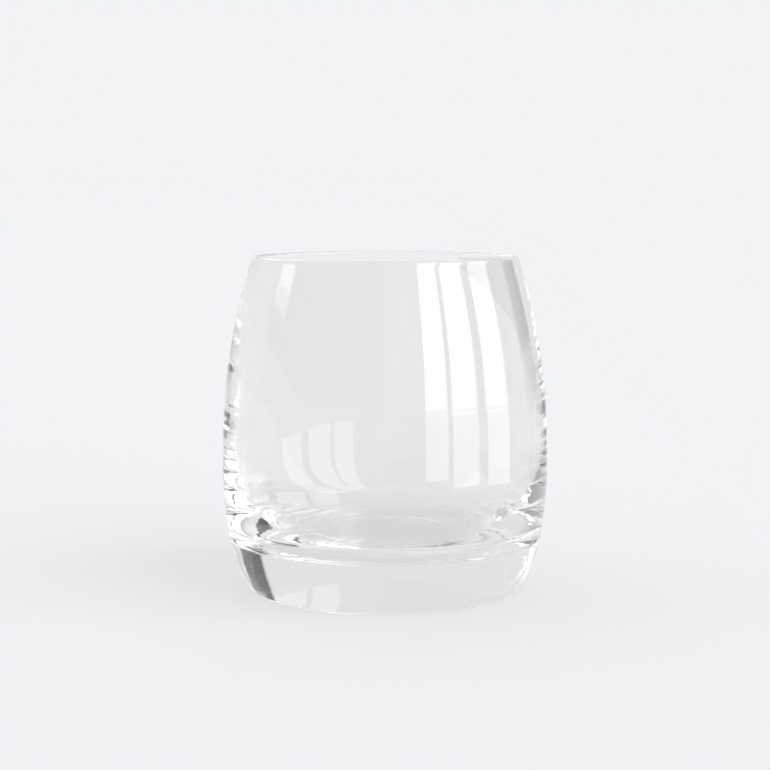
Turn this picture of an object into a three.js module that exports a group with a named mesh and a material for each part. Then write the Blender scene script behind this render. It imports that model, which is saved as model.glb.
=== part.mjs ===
// A barrel-shaped whiskey tumbler: one piece of clear glass, thin at the lip and solid at the base.
// Units are millimetres. +Z is up, and the origin is the middle of the ring that the glass stands on.

import * as THREE from "three";

// Outside of the barrel
const height = 87;
const rimRadius = 34.95; // outside, where the round lip begins
const rimLean = 0.29; // how far the wall leans in at the rim, in mm per mm of height
const bellyRadius = 42.65; // the widest place
const bellyHeight = 32;
const upperPull = 20; // how far the wall above the belly keeps its direction, at both ends
const lowerPull = 17.85; // how far the wall below the belly stays upright

// Foot
const footRadius = 35.1; // outer edge of the ring that it stands on
const heelPull = 3; // how far the heel's roll runs outwards before it turns up
const puntRadius = 18; // inner edge of the ring that it stands on
const puntEdge = 4; // width of the soft step up from the ring to the hollow
const puntDepth = 0.3; // how far the middle of the underside is hollowed

// Inside of the bowl
const lipThickness = 1.2;
const innerPull = 22; // how far the inner wall keeps the rim's direction
const bowlRadius = 39.4; // the widest place inside
const bowlHeight = 40;
const bowlPull = 11; // how far the inner wall stays upright above its widest place
const cornerPull = 16; // and below it, before it turns in to the floor
const floorReach = 11; // how far the rounded corner runs level before it meets the floor
const floorRadius = 24.8; // where the corner meets the floor
const floorHeight = 12.5; // top of the solid base
const floorDip = 0.3; // how far the floor sags at its middle

// Fineness of the facets
const flats = 72; // round the glass
const wallSteps = 10;
const cornerSteps = 10;
const heelSteps = 11;
const lipSteps = 4;
const floorSteps = 3;
const puntSteps = 4;

const point = (radius, up) => new THREE.Vector2(radius, up);

// A smooth stretch from start to end, which sets off towards leave and comes in from arrive.
const bend = (start, leave, arrive, end) => new THREE.CubicBezierCurve(start, leave, arrive, end);

// A gentle rise or fall that is level at both ends.
function swell(start, end) {
  const middle = (start.x + end.x) / 2;
  return bend(start, point(middle, start.y), point(middle, end.y), end);
}

// The section, from the middle of the underside, up the outside, over the lip and down to the middle of the floor.
function outline() {
  const lipRadius = lipThickness / 2;
  const rimHeight = height - lipRadius; // where the round lip begins
  const rim = point(rimRadius, rimHeight);
  const innerRim = point(rimRadius - lipThickness, rimHeight);
  const belly = point(bellyRadius, bellyHeight);
  const bowl = point(bowlRadius, bowlHeight);
  const foot = point(footRadius, 0);
  const puntOuter = point(puntRadius, 0);
  const puntInner = point(puntRadius - puntEdge, puntDepth);
  const floorEdge = point(floorRadius, floorHeight);

  const stretches = [
    [new THREE.LineCurve(point(0, puntDepth), puntInner), 1],
    [swell(puntInner, puntOuter), puntSteps],
    [new THREE.LineCurve(puntOuter, foot), 1],
    [
      bend(
        foot,
        point(footRadius + heelPull, 0),
        point(bellyRadius, bellyHeight - lowerPull),
        belly,
      ),
      heelSteps,
    ],
    [
      bend(
        belly,
        point(bellyRadius, bellyHeight + upperPull),
        point(rimRadius + rimLean * upperPull, rimHeight - upperPull),
        rim,
      ),
      wallSteps,
    ],
    [new THREE.EllipseCurve(rimRadius - lipRadius, rimHeight, lipRadius, lipRadius, 0, Math.PI), lipSteps],
    [
      bend(
        innerRim,
        point(innerRim.x + rimLean * innerPull, rimHeight - innerPull),
        point(bowlRadius, bowlHeight + bowlPull),
        bowl,
      ),
      wallSteps,
    ],
    [
      bend(
        bowl,
        point(bowlRadius, bowlHeight - cornerPull),
        point(floorRadius + floorReach, floorHeight),
        floorEdge,
      ),
      cornerSteps,
    ],
    [swell(floorEdge, point(0, floorHeight - floorDip)), floorSteps],
  ];

  const points = [point(0, puntDepth)];
  for (const [curve, steps] of stretches) points.push(...curve.getPoints(steps).slice(1));
  return points;
}

function tumblerGlass() {
  const geometry = new THREE.LatheGeometry(outline(), flats);
  geometry.rotateX(Math.PI / 2); // a lathe turns round Y, and the glass stands along Z
  const material = new THREE.MeshStandardMaterial({
    color: 0xf4f7f7,
    roughness: 0.02,
    metalness: 0,
    transparent: true,
    opacity: 0.35,
  });
  const mesh = new THREE.Mesh(geometry, material);
  mesh.name = "tumbler_glass";
  return mesh;
}

const tumbler = new THREE.Group();
tumbler.add(tumblerGlass());

export default tumbler;
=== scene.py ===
# Whiskey tumbler in clear glass, in metres, with +Z up.
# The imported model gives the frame, and this file makes the fine glass in it.

import math

import bmesh
import bpy
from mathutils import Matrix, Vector, noise
from mathutils.geometry import interpolate_bezier


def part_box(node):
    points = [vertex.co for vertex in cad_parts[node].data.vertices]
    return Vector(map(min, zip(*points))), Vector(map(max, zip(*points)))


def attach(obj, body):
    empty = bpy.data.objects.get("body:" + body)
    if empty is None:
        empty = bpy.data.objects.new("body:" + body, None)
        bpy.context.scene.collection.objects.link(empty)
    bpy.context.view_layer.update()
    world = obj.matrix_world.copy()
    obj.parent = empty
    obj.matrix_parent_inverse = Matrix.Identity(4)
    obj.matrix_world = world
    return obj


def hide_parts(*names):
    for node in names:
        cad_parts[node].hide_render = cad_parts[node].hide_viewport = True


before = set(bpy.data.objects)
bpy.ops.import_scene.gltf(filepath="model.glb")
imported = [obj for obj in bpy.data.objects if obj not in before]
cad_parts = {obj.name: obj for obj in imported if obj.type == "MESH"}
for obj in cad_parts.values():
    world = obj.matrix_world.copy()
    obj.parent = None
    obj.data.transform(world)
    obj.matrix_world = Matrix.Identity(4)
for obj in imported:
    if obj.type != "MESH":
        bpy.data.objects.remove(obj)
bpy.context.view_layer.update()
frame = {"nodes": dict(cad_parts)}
mm = 0.001
print("frame loaded:", ", ".join(frame["nodes"]))


# The camera stands in front, a little above the rim, and looks slightly down.

cameraSettings = {
    "distance": 470 * mm,
    "height": 106.16 * mm,
    "pitch": 6.434,  # degrees down
    "lens": 84.19,
    "sensor": 36,
}


def addCamera(settings):
    data = bpy.data.cameras.new("camera")
    data.sensor_width = settings["sensor"]
    data.lens = settings["lens"]
    camera = bpy.data.objects.new("camera", data)
    camera.location = (0, -settings["distance"], settings["height"])
    camera.rotation_euler = (math.radians(90 - settings["pitch"]), 0, 0)
    bpy.context.scene.collection.objects.link(camera)
    bpy.context.scene.camera = camera


# The glass is one section turned round the axis, with the slight unevenness of blown glass.

glassSettings = {
    "rimRadius": 34.95 * mm,  # outside, where the round lip begins
    "rimLean": 0.29,  # the wall leans in this much per height at the rim
    "bellyHeight": 32 * mm,
    "upperPull": 20 * mm,  # the wall above the belly keeps its direction this far, at both ends
    "lowerPull": 17.85 * mm,
    "footRadius": 35.1 * mm,  # outer edge of the ring that it stands on
    "heelPull": 3 * mm,
    "puntRadius": 18 * mm,  # inner edge of that ring, round the hollow underside
    "puntEdge": 2.5 * mm,  # width of the slope that leads up into the hollow
    "puntDepth": 0.12 * mm,
    "lipThickness": 1.2 * mm,
    "innerPull": 22 * mm,
    "bowlRadius": 39.4 * mm,  # the widest place inside
    "bowlHeight": 40 * mm,
    "bowlPull": 11 * mm,
    "cornerPull": 16 * mm,
    "floorReach": 11 * mm,  # the rounded corner runs level this far before it meets the floor
    "floorRadius": 24.8 * mm,
    "floorHeight": 12.5 * mm,
    "floorDip": 0.3 * mm,
    "creaseWidth": 0.8 * mm,  # a fine groove round the bowl's floor
    "creaseDepth": 0.15 * mm,
    "creaseLift": 0.75,  # share of its depth that the floor comes back up inside it
    "segments": 288,
    "step": 0.7 * mm,  # along the section
    "floorStep": 1.4 * mm,
    "creaseStep": 0.14 * mm,
    "lipStep": 0.1 * mm,
    "axisRadius": 0.001 * mm,  # a ring smaller than this is one point on the axis
    "bowlDrift": 0.35 * mm,  # the bowl sits this far to +X at mid height, so one wall is thicker
    "outerWave": 0.015 * mm,
    "innerWave": 0.02 * mm,
    "waveLength": 24 * mm,
    "calmRim": 14 * mm,  # unevenness fades out over this height under the rim and above the foot
    "outerSeed": (0, 0, 0),  # where each surface's unevenness is taken from
    "innerSeed": (7, 3, 1),
}


def bend(start, leave, arrive, end, step):  # points along a smooth stretch, without its first one
    length = math.dist(start, leave) + math.dist(leave, arrive) + math.dist(arrive, end)
    count = max(4, round(length / step))
    corners = [Vector((radius, 0, up)) for radius, up in (start, leave, arrive, end)]
    return [(p.x, p.z) for p in interpolate_bezier(*corners, count + 1)[1:]]


def swell(start, end, step):  # a gentle rise or fall that is level at both ends
    middle = (start[0] + end[0]) / 2
    return bend(start, (middle, start[1]), (middle, end[1]), end, step)


def arc(centre, radius, step):  # half a turn over the lip, from outside to inside
    count = round(math.pi * radius / step)
    angles = [math.pi * i / count for i in range(1, count + 1)]
    return [(centre[0] + radius * math.cos(a), centre[1] + radius * math.sin(a)) for a in angles]


def glassSection(s, bellyRadius, height):  # from under the middle, up the outside and down into the bowl
    lipRadius = s["lipThickness"] / 2
    rimHeight = height - lipRadius
    step = s["step"]
    puntInner = (s["puntRadius"] - s["puntEdge"], s["puntDepth"])
    puntOuter = (s["puntRadius"], 0)
    foot = (s["footRadius"], 0)
    belly = (bellyRadius, s["bellyHeight"])
    rim = (s["rimRadius"], rimHeight)
    innerRim = (s["rimRadius"] - s["lipThickness"], rimHeight)
    bowl = (s["bowlRadius"], s["bowlHeight"])
    floorEdge = (s["floorRadius"], s["floorHeight"])
    middle = (0, s["floorHeight"] - s["floorDip"])

    heelLeave = (foot[0] + s["heelPull"], 0)
    heelArrive = (bellyRadius, belly[1] - s["lowerPull"])
    wallLeave = (bellyRadius, belly[1] + s["upperPull"])
    wallArrive = (rim[0] + s["rimLean"] * s["upperPull"], rimHeight - s["upperPull"])
    innerLeave = (innerRim[0] + s["rimLean"] * s["innerPull"], rimHeight - s["innerPull"])
    innerArrive = (bowl[0], bowl[1] + s["bowlPull"])
    cornerLeave = (bowl[0], bowl[1] - s["cornerPull"])
    cornerArrive = (floorEdge[0] + s["floorReach"], floorEdge[1])

    under = [(0, s["puntDepth"]), puntInner] + swell(puntInner, puntOuter, step) + [foot]
    outside = bend(foot, heelLeave, heelArrive, belly, step) + bend(belly, wallLeave, wallArrive, rim, step)
    lip = arc((rim[0] - lipRadius, rimHeight), lipRadius, s["lipStep"])
    inside = bend(innerRim, innerLeave, innerArrive, bowl, step)
    inside += bend(bowl, cornerLeave, cornerArrive, floorEdge, step)
    crease = (floorEdge[0] - s["creaseWidth"] / 2, floorEdge[1] - s["creaseDepth"])
    creaseEnd = (floorEdge[0] - s["creaseWidth"], crease[1] + s["creaseLift"] * s["creaseDepth"])
    inside += swell(floorEdge, crease, s["creaseStep"]) + swell(crease, creaseEnd, s["creaseStep"])
    bowlFloor = swell(creaseEnd, middle, s["floorStep"])
    return under + outside + lip, inside + bowlFloor


def easeIn(value, low, high):  # 0 below low, 1 above high, smooth between
    t = min(1, max(0, (value - low) / (high - low)))
    return t * t * (3 - 2 * t)


def uneven(x, y, z, inner, s, height):  # a point of the true section, moved as blown glass strays from it
    calm = easeIn(height - z, 0, s["calmRim"])
    outward = Vector((x, y, 0)).normalized()
    place = Vector((x, y, z)) / s["waveLength"]
    if inner:
        rise = easeIn(z, s["floorHeight"], s["bowlHeight"])
        fall = easeIn(height - z, 0, height - s["bowlHeight"])
        wave = s["innerWave"] * calm * noise.noise(place + Vector(s["innerSeed"]))
        return Vector((x + s["bowlDrift"] * rise * fall, y, z)) + outward * wave
    calm *= easeIn(z, 0, s["calmRim"])
    wave = s["outerWave"] * calm * noise.noise(place + Vector(s["outerSeed"]))
    return Vector((x, y, z)) + outward * wave


def makeGlass(name, s):
    low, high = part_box("tumbler_glass")
    height = high.z - low.z
    outer, inner = glassSection(s, high.x, height)
    mesh = bmesh.new()
    rings = []
    for points, isInner in ((outer, False), (inner, True)):
        for radius, up in points:
            if radius < s["axisRadius"]:
                rings.append([mesh.verts.new((0, 0, up))] * s["segments"])
                continue
            ring = []
            for k in range(s["segments"]):
                turn = 2 * math.pi * k / s["segments"]
                spot = uneven(radius * math.cos(turn), radius * math.sin(turn), up, isInner, s, height)
                ring.append(mesh.verts.new(spot))
            rings.append(ring)
    for lower, upper in zip(rings, rings[1:]):
        for k in range(s["segments"]):
            following = (k + 1) % s["segments"]
            corners = [lower[k], lower[following], upper[following], upper[k]]
            mesh.faces.new(list(dict.fromkeys(corners)))  # a triangle where a ring is one point
    bmesh.ops.recalc_face_normals(mesh, faces=mesh.faces)
    for face in mesh.faces:
        face.smooth = True
    data = bpy.data.meshes.new(name)
    mesh.to_mesh(data)
    mesh.free()
    glass = bpy.data.objects.new(name, data)
    bpy.context.scene.collection.objects.link(glass)
    print(name, "made:", len(data.polygons), "faces")
    return glass


# Clear glass: fire-polished, with faint ripples and rings from forming and almost no haze.

clearGlassSettings = {
    "tint": (0.964, 0.961, 0.956, 1),
    "index": 1.52,
    "baseShadow": (0.985, 0.983, 0.98, 1),  # what each surface of the base lets through to the table
    "wallShadow": (0.88, 0.877, 0.872, 1),  # and each surface of the curved wall, which spreads the light
    "baseTop": (10 * mm, 16 * mm),  # heights over which the first gives way to the second
    "hazeScale": 60,
    "hazeDetail": 4,
    "hazeReach": (0.5, 0.8),  # the noise over which the haze comes in
    "haze": (0.0, 0.012),  # roughness, from clean to faintly smeared
    "rippleScale": 90,
    "rippleDetail": 2,
    "rippleHeight": 0.004 * mm,
    "ringSpacing": 2.4 * mm,  # faint level rings from forming
    "ringHeight": 0.0026 * mm,
    "ringWander": 3,
    "ringWanderScale": 0.3,
}


waveNodeTurn = 20  # the wave node counts this many radians to a metre at scale 1


def clearGlass(s):
    material = bpy.data.materials.new("clear_glass")
    material.use_nodes = True
    tree = material.node_tree
    nodes, links = tree.nodes, tree.links
    shader = nodes["Principled BSDF"]
    shader.inputs["Base Color"].default_value = s["tint"]
    shader.inputs["Transmission Weight"].default_value = 1
    shader.inputs["IOR"].default_value = s["index"]

    place = nodes.new("ShaderNodeTexCoord")
    haze = nodes.new("ShaderNodeTexNoise")
    haze.inputs["Scale"].default_value = s["hazeScale"]
    haze.inputs["Detail"].default_value = s["hazeDetail"]
    spread = nodes.new("ShaderNodeMapRange")
    spread.inputs["From Min"].default_value, spread.inputs["From Max"].default_value = s["hazeReach"]
    spread.inputs["To Min"].default_value, spread.inputs["To Max"].default_value = s["haze"]
    links.new(place.outputs["Object"], haze.inputs["Vector"])
    links.new(haze.outputs["Fac"], spread.inputs["Value"])
    links.new(spread.outputs["Result"], shader.inputs["Roughness"])

    ripple = nodes.new("ShaderNodeTexNoise")
    ripple.inputs["Scale"].default_value = s["rippleScale"]
    ripple.inputs["Detail"].default_value = s["rippleDetail"]
    bump = nodes.new("ShaderNodeBump")
    bump.inputs["Distance"].default_value = s["rippleHeight"]
    links.new(place.outputs["Object"], ripple.inputs["Vector"])
    links.new(ripple.outputs["Fac"], bump.inputs["Height"])

    ring = nodes.new("ShaderNodeTexWave")
    ring.bands_direction = "Z"
    ring.inputs["Scale"].default_value = 2 * math.pi / (waveNodeTurn * s["ringSpacing"])
    ring.inputs["Distortion"].default_value = s["ringWander"]
    ring.inputs["Detail Scale"].default_value = s["ringWanderScale"]
    ringBump = nodes.new("ShaderNodeBump")
    ringBump.inputs["Distance"].default_value = s["ringHeight"]
    links.new(place.outputs["Object"], ring.inputs["Vector"])
    links.new(ring.outputs["Fac"], ringBump.inputs["Height"])
    links.new(bump.outputs["Normal"], ringBump.inputs["Normal"])
    links.new(ringBump.outputs["Normal"], shader.inputs["Normal"])

    path = nodes.new("ShaderNodeLightPath")
    through = nodes.new("ShaderNodeBsdfTransparent")
    axes = nodes.new("ShaderNodeSeparateXYZ")
    wallShare = nodes.new("ShaderNodeMapRange")
    wallShare.inputs["From Min"].default_value, wallShare.inputs["From Max"].default_value = s["baseTop"]
    shade = nodes.new("ShaderNodeMix")
    shade.data_type = "RGBA"
    shade.inputs["A"].default_value = s["baseShadow"]
    shade.inputs["B"].default_value = s["wallShadow"]
    links.new(place.outputs["Object"], axes.inputs["Vector"])
    links.new(axes.outputs["Z"], wallShare.inputs["Value"])
    links.new(wallShare.outputs["Result"], shade.inputs["Factor"])
    links.new(shade.outputs["Result"], through.inputs["Color"])
    straight = nodes.new("ShaderNodeMath")  # light on its way to the table passes straight through
    straight.operation = "MAXIMUM"
    links.new(path.outputs["Is Shadow Ray"], straight.inputs[0])
    links.new(path.outputs["Is Diffuse Ray"], straight.inputs[1])
    either = nodes.new("ShaderNodeMixShader")
    links.new(straight.outputs["Value"], either.inputs["Fac"])
    links.new(shader.outputs["BSDF"], either.inputs[1])
    links.new(through.outputs["BSDF"], either.inputs[2])
    links.new(either.outputs["Shader"], nodes["Material Output"].inputs["Surface"])
    return material


# The studio: a pale table and a pale backdrop of one brightness, a dimmer room in front,
# and a tall window on the right. The glass shows the room only in its reflections.
# Places round the glass are in degrees from the camera's side, positive to the right.

studioSettings = {
    "pale": (0.8879, 0.8963, 0.9131),  # table and backdrop, as the camera sees them
    "backdrop": 0.88,  # brightness as the glass shows it, where what the camera sees is 1
    "room": 0.4,
    "roomEdge": (88, 112),  # degrees round, over which the room gives way to the backdrop
    "doorway": {"round": (120, 140), "up": (-3, 68), "soft": 3, "light": 0.06},  # also seen straight through
    "surroundings": (  # later ones cover earlier ones
        {"name": "ceiling", "round": (-181, 181), "up": (65, 91), "soft": 1, "light": 0.9},
        {"name": "table beyond", "round": (-181, 181), "up": (-91, -9), "soft": 2, "light": 0.98},
        {"name": "wall", "round": (-2, 27), "up": (-4, 45), "soft": 6, "light": 0.75},
        {"name": "near pane", "round": (28, 44.5), "up": (-8.8, 70), "soft": 0.8, "light": 3.2},
        {"name": "middle pane", "round": (48, 68.5), "up": (-9.2, 70), "soft": 0.8, "light": 3.2},
        {"name": "far pane", "round": (76, 97), "up": (-9.6, 70), "soft": 0.8, "light": 3.2},
        {"name": "left window", "round": (-99, -84), "up": (14, 50), "soft": 2, "light": 2.2},
    ),
    "tableFar": 8.0,  # to the left and behind
    "tableRight": 0.12,  # the table ends beside the window
    "tableFront": 0.17,  # and in front of the glass
    "tableGap": 0.1 * mm,
    "tableTone": 0.936,  # grey that makes the lit table match the backdrop
    "bounces": 64,  # light runs a long way inside the wall before it leaves at the rim
}


oneReflection = 0.5  # a count of reflections below this means none


def mathNode(tree, operation, *values):
    node = tree.nodes.new("ShaderNodeMath")
    node.operation = operation
    for i, value in enumerate(values):
        if isinstance(value, (int, float)):
            node.inputs[i].default_value = value
        else:
            tree.links.new(value, node.inputs[i])
    return node.outputs[0]


def smoothStep(tree, value, low, high):
    node = tree.nodes.new("ShaderNodeMapRange")
    node.interpolation_type = "SMOOTHSTEP"
    node.inputs["From Min"].default_value = low
    node.inputs["From Max"].default_value = high
    tree.links.new(value, node.inputs["Value"])
    return node.outputs["Result"]


def between(tree, value, low, high, softness):
    after = smoothStep(tree, value, low - softness / 2, low + softness / 2)
    before = smoothStep(tree, value, high + softness / 2, high - softness / 2)
    return mathNode(tree, "MULTIPLY", after, before)


def blend(tree, share, low, high):
    node = tree.nodes.new("ShaderNodeMix")
    tree.links.new(share, node.inputs["Factor"])
    for socket, value in ((node.inputs["A"], low), (node.inputs["B"], high)):
        if isinstance(value, (int, float)):
            socket.default_value = value
        else:
            tree.links.new(value, socket)
    return node.outputs["Result"]


def lightStudio(s):
    world = bpy.data.worlds.new("studio")
    world.use_nodes = True
    bpy.context.scene.world = world
    tree = world.node_tree
    nodes, links = tree.nodes, tree.links
    place = nodes.new("ShaderNodeTexCoord")
    axes = nodes.new("ShaderNodeSeparateXYZ")
    links.new(place.outputs["Generated"], axes.inputs["Vector"])
    x, y, z = (axes.outputs[axis] for axis in "XYZ")
    turn = mathNode(tree, "ARCTAN2", x, mathNode(tree, "MULTIPLY", y, -1))
    around = mathNode(tree, "DEGREES", turn)
    up = mathNode(tree, "DEGREES", mathNode(tree, "ARCSINE", z))

    def card(settings, under):
        across = between(tree, around, *settings["round"], settings["soft"])
        tall = between(tree, up, *settings["up"], settings["soft"])
        return blend(tree, mathNode(tree, "MULTIPLY", across, tall), under, settings["light"])

    backdrop = smoothStep(tree, mathNode(tree, "ABSOLUTE", around), *s["roomEdge"])
    reflected = card(s["doorway"], blend(tree, backdrop, s["room"], s["backdrop"]))
    for patch in s["surroundings"]:
        reflected = card(patch, reflected)
    seenThrough = card(s["doorway"], s["backdrop"])  # the room doesn't darken the glass from behind

    path = nodes.new("ShaderNodeLightPath")
    unreflected = mathNode(tree, "LESS_THAN", path.outputs["Glossy Depth"], oneReflection)
    through = mathNode(tree, "MULTIPLY", path.outputs["Is Transmission Ray"], unreflected)
    shown = blend(tree, path.outputs["Is Camera Ray"], blend(tree, through, reflected, seenThrough), 1)
    background = nodes["Background"]
    background.inputs["Color"].default_value = (*s["pale"], 1)
    links.new(shown, background.inputs["Strength"])


def makeTable(s):
    data = bpy.data.meshes.new("table")
    far, right, front = s["tableFar"], s["tableRight"], s["tableFront"]
    corners = [(-far, -front, 0), (right, -front, 0), (right, far, 0), (-far, far, 0)]
    data.from_pydata(corners, [], [(0, 1, 2, 3)])
    table = bpy.data.objects.new("table", data)
    table.location.z = -s["tableGap"]
    bpy.context.scene.collection.objects.link(table)
    material = bpy.data.materials.new("pale_table")
    material.use_nodes = True
    shader = material.node_tree.nodes["Principled BSDF"]
    shader.inputs["Base Color"].default_value = (*[s["tableTone"]] * 3, 1)
    shader.inputs["Roughness"].default_value = 1
    shader.inputs["Specular IOR Level"].default_value = 0
    data.materials.append(material)
    return table


addCamera(cameraSettings)
tumbler = makeGlass("tumbler", glassSettings)
tumbler.data.materials.append(clearGlass(clearGlassSettings))
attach(tumbler, "root")
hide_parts("tumbler_glass")
print("glass in place")

makeTable(studioSettings)
lightStudio(studioSettings)
scene = bpy.context.scene
scene.view_settings.view_transform = "Standard"
scene.cycles.use_denoising = True
scene.cycles.max_bounces = studioSettings["bounces"]
scene.cycles.transmission_bounces = studioSettings["bounces"]
scene.cycles.glossy_bounces = studioSettings["bounces"]
scene.cycles.caustics_reflective = False  # the glass's own shadow colour stands in for them
scene.cycles.caustics_refractive = False
print("studio lit")
